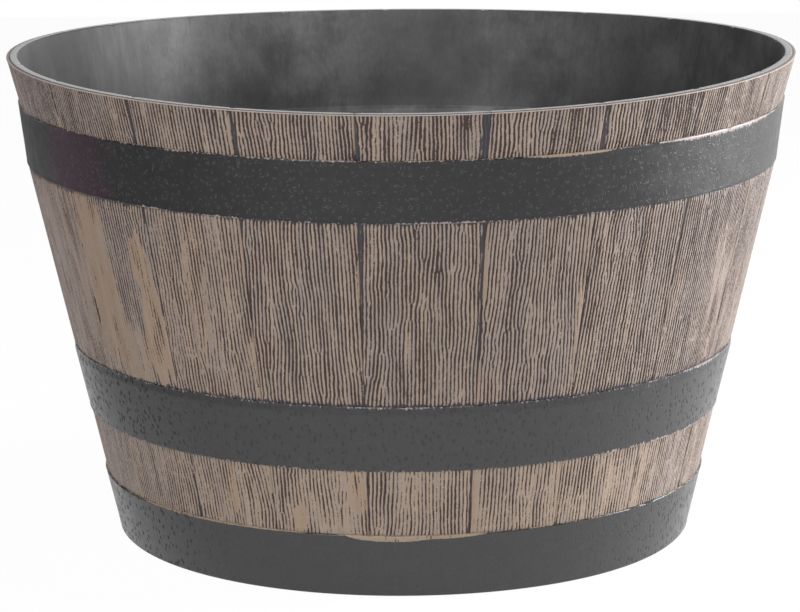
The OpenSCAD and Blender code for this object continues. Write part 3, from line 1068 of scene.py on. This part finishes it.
# %% Painted light and shade inside the tub
# Painted light and shade on the inner wall: how much paler the band along the ledge is, where it fades, and
# how much darker the wall above it is
LEDGE_LIGHT = 1.15
LEDGE_FADE_Z = 225
WALL_PAINTED_SHADE = 0.25
WALL_PAINTED_SHADE_Z = (320, 268)
# Painted light and shade inside, in soft patches: direction from the back wall's middle and half width, in
# degrees, and lightness
PAINTED_LIGHT_PATCHES = (
    (-42, 6, -0.2),
    (-30, 6, 0.15),
    (-17, 8, 0.45),
    (15, 8, 0.6),
    (30, 5, 0.15),
    (42, 6, 0.6),
    (60, 8, -0.3),
    (68, 12, -0.55),
)


def tub_painted_light(angle, z):
    """Painted light and shade: a pale band that fades below the ledge, a darker wall above it, and a soft
    bell for each patch.
    """
    band = step(z, LEDGE_Z + 0.3, LEDGE_Z) * step(z, LEDGE_FADE_Z, LEDGE_LOW)
    wear_and_painted_light = LEDGE_LIGHT * band - WALL_PAINTED_SHADE * step(z, *WALL_PAINTED_SHADE_Z)
    from_back = np.degrees(angle - math.pi / 2)
    for direction, half, light in PAINTED_LIGHT_PATCHES:
        wear_and_painted_light = wear_and_painted_light + light * np.exp(-(((from_back - direction) / half) ** 2))
    return wear_and_painted_light


print("soft patches", len(PAINTED_LIGHT_PATCHES), "of which dark", sum(light < 0 for *_, light in PAINTED_LIGHT_PATCHES))

# %% Rows and columns of the tub
ROUND_STEPS = 680
CORNER = 0.4
GROOVE_W = 0.8
# Columns beside each groove, in widths of the groove
GROOVE_COLUMNS = (-1.7, -1.0, -0.55, -0.35, 0.35, 0.55, 1.0, 1.7)


def tub_rows():
    """Radius, height and part of each row: even steps along each side, from near one corner to the next."""
    corners = tub_section()
    radii, heights, parts = [], [], []
    for (r0, z0, gap, part), (r1, z1, _, _) in zip(corners, corners[1:] + corners[:1]):
        length = math.hypot(r1 - r0, z1 - z0)
        edge = min(CORNER, length / 4) / length
        share = spaced(edge, 1 - edge, gap / length)
        radii.append(r0 + (r1 - r0) * share)
        heights.append(z0 + (z1 - z0) * share)
        parts.append(np.full(len(share), part))
    return np.concatenate(radii), np.concatenate(heights), np.concatenate(parts)


def tub_angles():
    """Directions of the columns: even steps round the tub, and a few more across each groove in the rim."""
    near = np.array(GROOVE_COLUMNS) * GROOVE_W / RIM_R
    angle = np.r_[np.linspace(0, 2 * math.pi, ROUND_STEPS, endpoint=False), (JOINTS[:, None] + near).ravel()]
    return np.unique((angle % (2 * math.pi)).round(6))


print("rows", len(tub_rows()[0]), "columns", len(tub_angles()))

# %% Make the tub
CHIP_W = 1.6
CHIP_REACH = 3
CHIP_DEPTH = 0.96
CHIP_ZONE = 1.2
CHIP_DARK = (0.1875, 0.5625)


def make_tub():
    """The tub's section carried round, with a groove across the rim at each joint and a chip at its end."""
    radii, heights, parts = (values[:, None] for values in tub_rows())
    angle = tub_angles()[None]
    z, radius = heights + 0 * angle, radii + 0 * angle
    off = np.abs(np.angle(np.exp(1j * (angle[..., None] - JOINTS)))).min(-1) * RIM_R
    groove = 1 - step(off, GROOVE_W * 0.35, GROOVE_W * 0.6)
    chip = np.exp(-((off / CHIP_W) ** 2)) * step(radius, RIM_IN + CHIP_REACH, RIM_IN) * (radius > RIM_IN - 1)
    rim = np.isin(parts, (RIM, LIP, STEP))
    on_rim = rim & (z > GROOVE_Z - 0.2)
    fall = np.where(on_rim, (HEIGHT - GROOVE_Z) * groove, 0)
    z = z - fall - np.where(z > HEIGHT - CHIP_ZONE, CHIP_DEPTH * chip, 0)
    under = (parts == LIP) & (heights < LIP_Z + 0.2)
    line = np.where((parts == STEP) | under, 1.0, 0.0)
    layers = {
        "rim": rim + 0 * angle,
        "line": np.maximum(line, on_rim * np.maximum(groove, step(chip, *CHIP_DARK))),
        "painted": (parts == LIP) + 0 * angle,
        "wear_and_painted_light": np.where(parts == INSIDE, tub_painted_light(angle, z), 0),
    }
    mesh = grid_mesh("tub_shell", angle, radius, z, True, layers)
    print("tub has", len(mesh.polygons), "faces")
    return dress("tub_shell", mesh, TUB, "planter", "resin_grey", "tub")


make_tub()

# %% [markdown]
# ## Drain plug
#
# The plug lifts out of the floor. It is a turned form: stem, head and a knob to pull it by. The model's
# section is right, so the piece repeats it with its corners rounded, and adds the fine ribs that a hand
# needs to grip rubber.


# %% Rubber finish
def rubber_finish():
    """Black rubber with a cloudy grey bloom."""
    made = Finish("plug_rubber")
    bloom = made.noise(3, 3.0)
    colour = made.blend(made.step(bloom, -0.2, 0.4), srgb(26, 26, 27), srgb(44, 44, 45))
    relief = made.noise(0.6, 2.0) * 0.06
    return made.surface(Base_Color=colour, Roughness=0.72 + bloom * 0.2, Normal=made.bump(relief), IOR=1.5)


RUBBER = rubber_finish()
print("the rubber has", len(RUBBER.node_tree.nodes), "nodes")


# %% Outline of the plug
def rounded(corners, radius, count=5):
    """Outline with each corner rounded: points on a curve from before it to after it, bent towards it."""
    points = []
    for k, corner in enumerate(corners):
        if k in (0, len(corners) - 1):
            points.append(corner)
            continue
        here = np.array(corner)
        before, after = np.array(corners[k - 1]) - here, np.array(corners[k + 1]) - here
        reach = min(radius, np.linalg.norm(before) * 0.45, np.linalg.norm(after) * 0.45)
        first = here + before / np.linalg.norm(before) * reach
        last = here + after / np.linalg.norm(after) * reach
        for t in np.linspace(0, 1, count):
            points.append(tuple(first * (1 - t) ** 2 + 2 * here * t * (1 - t) + last * t**2))
    return points


AXIS_R = 0.02


def turned_corners(node):
    """Outline of a turned node, upwards. Where a height has two radii, the one nearer the last is first."""
    levels, inner, outer = rings(node)
    corners = [(AXIS_R, levels[0])]
    for z, small, large in zip(levels, inner, outer):
        pair = sorted({small.round(2), large.round(2)}, key=lambda r: abs(r - corners[-1][0]))
        corners += [(r, z) for r in pair]
    return corners + [(AXIS_R, levels[-1])]


print("corners of the plug", len(turned_corners("drain_plug")))

# %% Make the plug
PLUG_ROUND = 0.8
PLUG_COLUMNS = 240
KNOB_LOW = 22.5
KNOB_HIGH = 26.0
RIBS = 30
RIB_DEPTH = 0.25


def make_plug():
    """The outline turned round, less the ribs on the knob, which are a cosine of the angle."""
    outline = np.array(rounded(turned_corners("drain_plug"), PLUG_ROUND))
    angle = np.linspace(0, 2 * math.pi, PLUG_COLUMNS, endpoint=False)[None]
    ribs = RIB_DEPTH * (0.5 - 0.5 * np.cos(RIBS * angle))
    on_knob = step(outline[:, 1], KNOB_LOW, KNOB_LOW + 1) * step(outline[:, 1], KNOB_HIGH + 1, KNOB_HIGH)
    radius = outline[:, :1] - ribs * on_knob[:, None]
    mesh = grid_mesh("plug_rubber", angle, radius, outline[:, 1:] + 0 * angle, True, {})
    print("plug has", len(mesh.polygons), "faces")
    return dress("plug_body", mesh, RUBBER, "plug", "plug_rubber", "drain_plug")


make_plug()

# %% [markdown]
# ## Studio
#
# The photograph is lit softly from the front and above, and a bright white background behind and to the
# right gives both sides a pale shine, much stronger on the right. So there are soft panels for the key
# light and for the bright side, a weak even light from all round, and a floor that sends light up. The
# camera sees plain white.

# %% Lights
# Each panel: direction from the camera's side round to the right in degrees, distance and height of its
# middle, width and height in metres, and power in watts
PANELS = {
    "front": (-12, 2.6, 2.4, 2.4, 1.8, 50),
    "front_low": (-20, 3.0, 1.0, 2.0, 1.4, 32),
    "right": (99, 2.3, 0.6, 1.4, 1.2, 90),
    "left_high": (-110, 1.4, 1.8, 1.2, 1.2, 2),
}
AIM = (0, 0, 0.2)
AMBIENT = 0.06
BACKDROP_SIDE = 0.8
BACKDROP_FADE = (0.3, 0.95)


def add_panel(name, direction, distance, height, wide, tall, power):
    """Soft rectangular light, turned towards the planter."""
    data = bpy.data.lights.new(f"panel_{name}", "AREA")
    data.shape = "RECTANGLE"
    data.size, data.size_y = wide, tall
    data.energy = power
    panel = bpy.data.objects.new(f"panel_{name}", data)
    turn = math.radians(direction)
    place = Vector((distance * math.sin(turn), -distance * math.cos(turn), height))
    panel.rotation_euler = (place - Vector(AIM)).to_track_quat("Z", "Y").to_euler()
    panel.location = place
    panel.visible_camera = False
    bpy.context.scene.collection.objects.link(panel)


for name, values in PANELS.items():
    add_panel(name, *values)
print("panels", len(PANELS))

# %% White surroundings
scene = bpy.context.scene
scene.view_settings.view_transform = "Standard"


def rays(made):
    """1 for a camera ray, and 1 for a ray that a gloss or a clear thing sends on."""
    kinds = ("Camera", "Glossy", "Transmission")
    seen, glossy, through = (made.node("ShaderNodeLightPath", output=f"Is {kind} Ray") for kind in kinds)
    return seen, glossy + through


def surround():
    """World: white to the camera, and to reflections at the back and the right, where the backdrop is."""
    made = Finish("studio", "worlds")
    seen, mirrored = rays(made)
    way = made.node("ShaderNodeTexCoord", output="Generated")
    right, back = (made.node("ShaderNodeSeparateXYZ", {}, {0: way}, output=axis) for axis in ("X", "Y"))
    white = mirrored * made.step(right * BACKDROP_SIDE + back, *BACKDROP_FADE) + seen
    plain = made.node("ShaderNodeMath", {"operation": "MAXIMUM"}, {0: white, 1: AMBIENT})
    glow = made.node("ShaderNodeBackground", {}, {"Color": (1, 1, 1, 1), "Strength": plain})
    return made.ended(glow, "World")


scene.world = surround()
print("world has", len(scene.world.node_tree.nodes), "nodes")

# %% Floor
FLOOR_SIZE = 6.0
FLOOR_WHITE = 0.93
FLOOR_GLOW = 1.03
FLOOR_FADE = (-0.9, 0.3)


def floor_finish():
    """A pale matt paint that the camera and reflections see nearly white, with a faint shadow on it."""
    made = Finish("floor_white")
    seen, mirrored = rays(made)
    right = made.node("ShaderNodeSeparateXYZ", {}, {0: made.place()}, output="X")
    white = seen + mirrored * made.step(right, *FLOOR_FADE)
    speck = made.noise(40, 2.0)
    pale = made.blend(made.step(speck, -0.4, 0.4), srgb(232, 232, 232), srgb(240, 240, 240))
    plain = made.node("ShaderNodeBsdfDiffuse", {}, {"Color": pale})
    glow = made.node("ShaderNodeEmission", {}, {"Color": (1, 1, 1, 1), "Strength": FLOOR_GLOW})
    return made.ended(made.node("ShaderNodeMixShader", {}, {0: white * FLOOR_WHITE, 1: plain, 2: glow}))


def make_floor():
    """A wide level square under the planter."""
    half = FLOOR_SIZE / 2
    corners = [(-half, -half, 0), (half, -half, 0), (half, half, 0), (-half, half, 0)]
    mesh = bpy.data.meshes.new("floor")
    mesh.from_pydata(corners, [], [(0, 1, 2, 3)])
    mesh.materials.append(floor_finish())
    floor = bpy.data.objects.new("floor", mesh)
    scene.collection.objects.link(floor)


make_floor()
